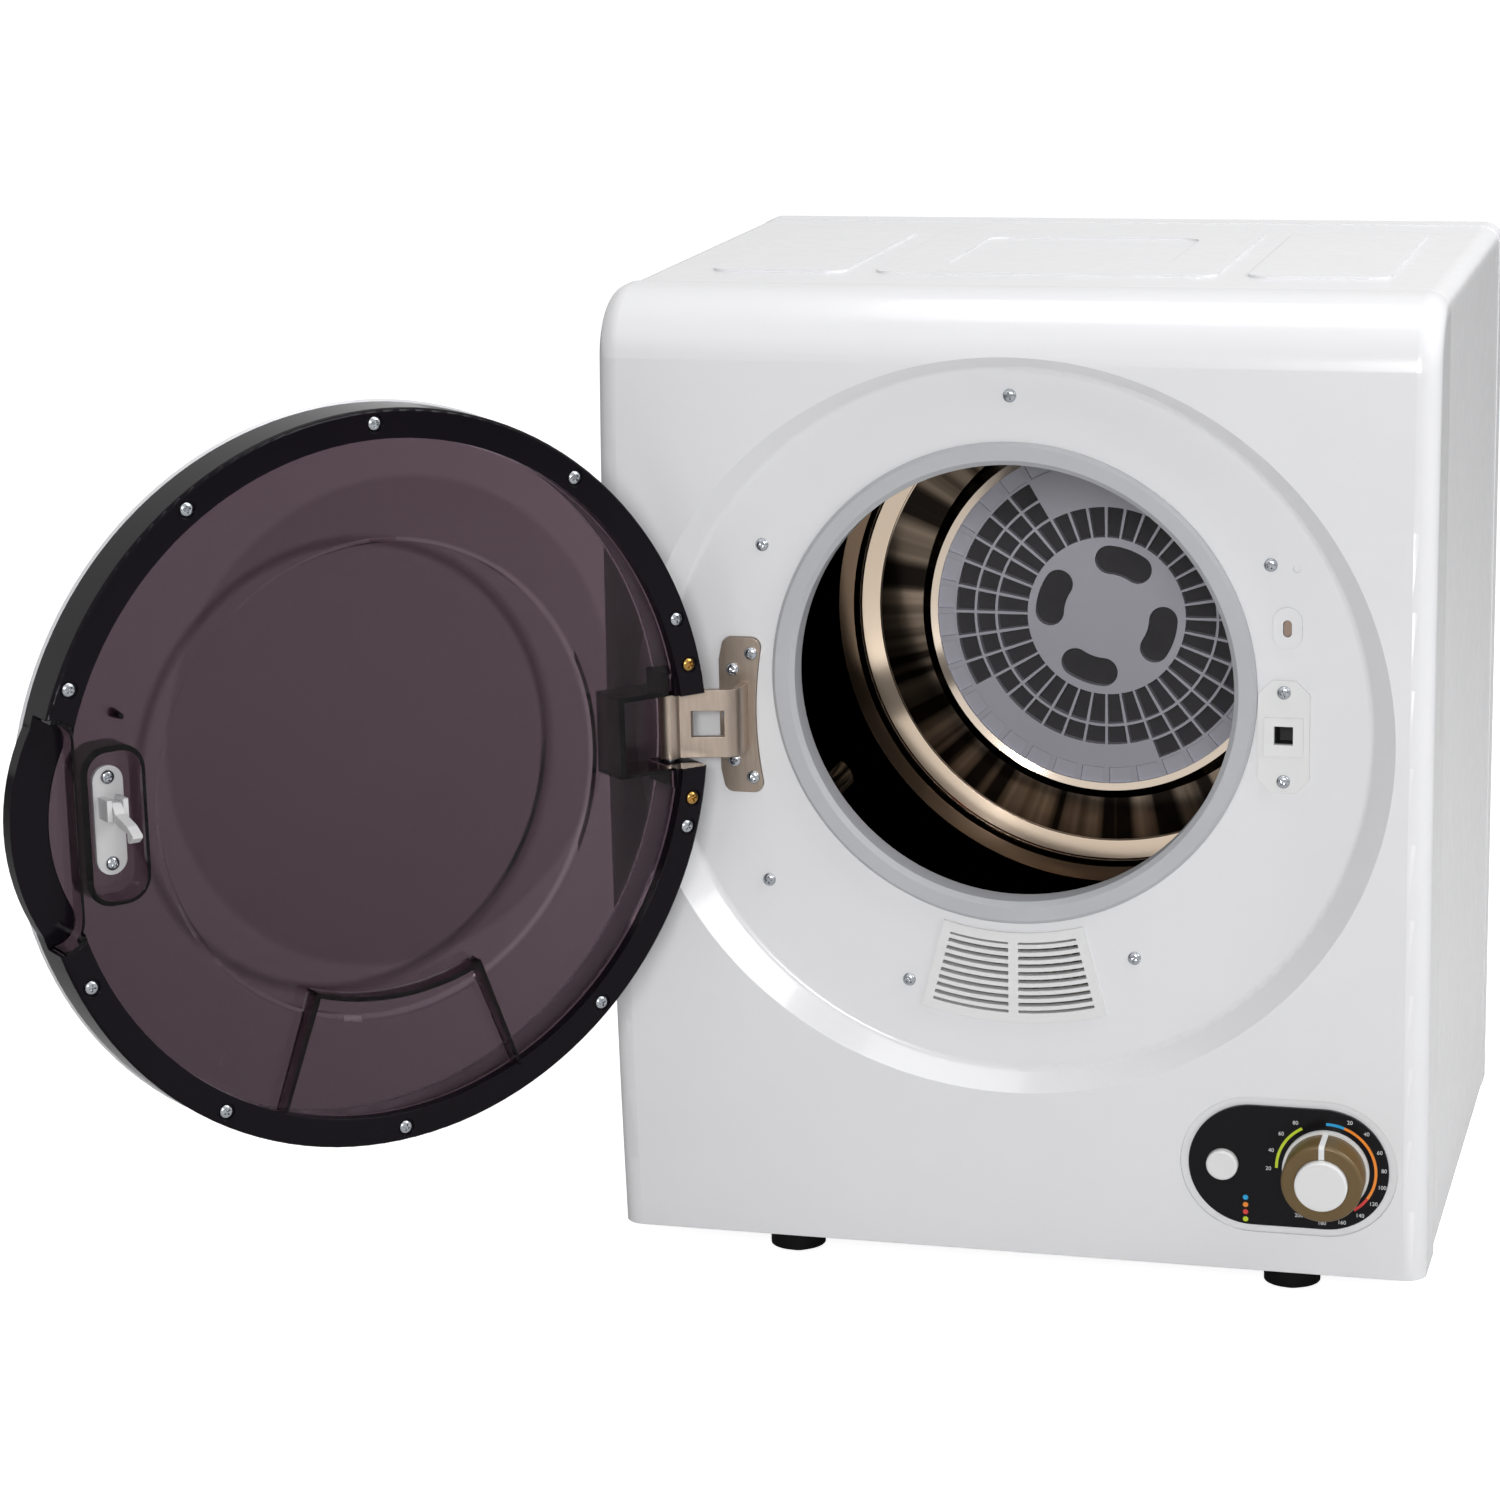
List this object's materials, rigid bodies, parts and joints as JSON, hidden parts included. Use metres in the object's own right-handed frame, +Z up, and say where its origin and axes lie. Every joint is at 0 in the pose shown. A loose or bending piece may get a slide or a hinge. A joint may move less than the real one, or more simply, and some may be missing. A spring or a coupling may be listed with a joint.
{
  "type": "clothes dryer",
  "caption": "Compact front-loading clothes dryer: bowed white cabinet with a round smoked door on a side hinge, steel drum with a rear lint filter, and one timer knob.",
  "frame": {"origin": "on the floor, under the middle of the cabinet's width and depth", "axes": "+X to the right of somebody facing the door, +Y towards the back, +Z up; stored with the door open"},
  "size_m": [0.735, 0.7343, 0.6],
  "materials": {
    "white_gloss_plastic": "gloss",
    "white_painted_steel": "gloss",
    "galvanised_steel": "satin",
    "black_rubber": "matte",
    "grey_seal_rubber": "satin",
    "grey_felt": "matte",
    "zinc_plated_steel": "bright",
    "brass": "bright",
    "white_satin_plastic": "satin",
    "black_gloss_plastic": "gloss",
    "olive_plastic": "satin",
    "dark_plastic": "matte",
    "stainless_steel": "polished",
    "grey_plastic": "satin",
    "filter_cloth": "matte",
    "cast_aluminium": "cast",
    "champagne_casting": "satin",
    "steel": "turned",
    "sintered_bronze": "matte",
    "smoked_plastic": "clear",
    "dark_smoked_plastic": "gloss",
    "silver_plastic": "satin",
    "heater_ceramic": "matte",
    "fan_plastic": "matte",
    "motor_paint": "satin"
  },
  "bodies": {
    "cabinet": {"front_panel": "white_gloss_plastic", "front_bulkhead": "galvanised_steel", "drum_felt": "grey_felt", "mouth_seal": "grey_seal_rubber", "ring_screws": "zinc_plated_steel", "cabinet_wrap": "white_painted_steel", "rear_cover": "white_painted_steel", "rear_screws": "zinc_plated_steel", "cord_bush": "black_rubber", "base_pan": "galvanised_steel", "feet": "black_rubber", "air_grille": "white_satin_plastic", "heater_box": "galvanised_steel", "heater_core": "heater_ceramic", "thermostat": "heater_ceramic", "strike_plate": "white_satin_plastic", "strike_screws": "zinc_plated_steel", "door_switch": "dark_plastic", "hinge_bracket": "champagne_casting", "hinge_screws": "zinc_plated_steel", "control_fascia": "black_gloss_plastic", "timer": "dark_plastic", "heat_switch": "dark_plastic", "rear_bulkhead": "galvanised_steel", "rear_bearing": "sintered_bronze", "fan_scroll": "fan_plastic", "motor": "motor_paint", "motor_bracket": "galvanised_steel", "capacitor": "cast_aluminium", "drum_belt": "black_rubber", "fan_belt": "black_rubber"},
    "switch_plunger": {"switch_plunger": "white_satin_plastic"},
    "knob": {"timer_shaft": "steel", "knob_flange": "white_satin_plastic", "knob_skirt": "olive_plastic", "knob_cap": "white_satin_plastic", "knob_pointer": "white_satin_plastic"},
    "heat_button": {"heat_button": "white_satin_plastic"},
    "drum": {"drum_shell": "stainless_steel", "drum_back": "stainless_steel", "drum_lifters": "stainless_steel", "drum_spider": "cast_aluminium", "drum_shaft": "steel", "lint_mesh": "filter_cloth"},
    "filter_cover": {"filter_cover": "grey_plastic"},
    "fan": {"fan_wheel": "fan_plastic"},
    "motor_rotor": {"motor_shaft": "steel"},
    "door": {"door_frame": "dark_smoked_plastic", "door_inner_pane": "smoked_plastic", "door_outer_pane": "smoked_plastic", "door_trim_ring": "silver_plastic", "door_screws": "zinc_plated_steel", "boss_screws": "brass", "hinge_pin": "steel", "latch_base": "white_satin_plastic", "latch_screws": "zinc_plated_steel"},
    "latch_hook": {"latch_hook": "white_satin_plastic"}
  },
  "joints": [
    {"name": "door_hinge", "type": "hinge", "parent": "cabinet", "child": "door", "pos_m": [-0.201, -0.214, 0.346], "axis": [0, 0, 1], "range_deg": [-7.6, 132.4]},
    {"name": "latch_pivot", "type": "hinge", "parent": "door", "child": "latch_hook", "pos_m": [-0.43701, -0.48803, 0.354], "axis": [-0.6743, -0.7385, 0], "range_deg": [0, 5.5], "stiffness_Nm_per_rad": 0.05},
    {"name": "drum_spin", "type": "hinge", "parent": "cabinet", "child": "drum", "pos_m": [0, 0, 0.346], "axis": [0, 1, 0], "continuous": true},
    {"name": "motor_spin", "type": "hinge", "parent": "cabinet", "child": "motor_rotor", "pos_m": [0.165, 0, 0.076], "axis": [0, 1, 0], "continuous": true},
    {"name": "fan_spin", "type": "hinge", "parent": "cabinet", "child": "fan", "pos_m": [0, 0, 0.346], "axis": [0, 1, 0], "continuous": true},
    {"name": "filter_pull", "type": "slide", "parent": "drum", "child": "filter_cover", "axis": [0, -1, 0], "range_m": [0, 0.1]},
    {"name": "timer_turn", "type": "hinge", "parent": "cabinet", "child": "knob", "pos_m": [0.1894, -0.19496, 0.087], "axis": [0, 0.998, 0.0632], "range_deg": [0, 330]},
    {"name": "heat_push", "type": "slide", "parent": "cabinet", "child": "heat_button", "axis": [0, 0.998, 0.0632], "range_m": [0, 0.003], "stiffness_N_per_m": 300},
    {"name": "switch_push", "type": "slide", "parent": "cabinet", "child": "switch_plunger", "axis": [0, 1, 0], "range_m": [0, 0.003], "stiffness_N_per_m": 200}
  ],
  "couplings": [
    {"joint": "motor_spin", "follows": "drum_spin", "ratio": 22.333},
    {"joint": "fan_spin", "follows": "drum_spin", "ratio": 8.8158}
  ]
}
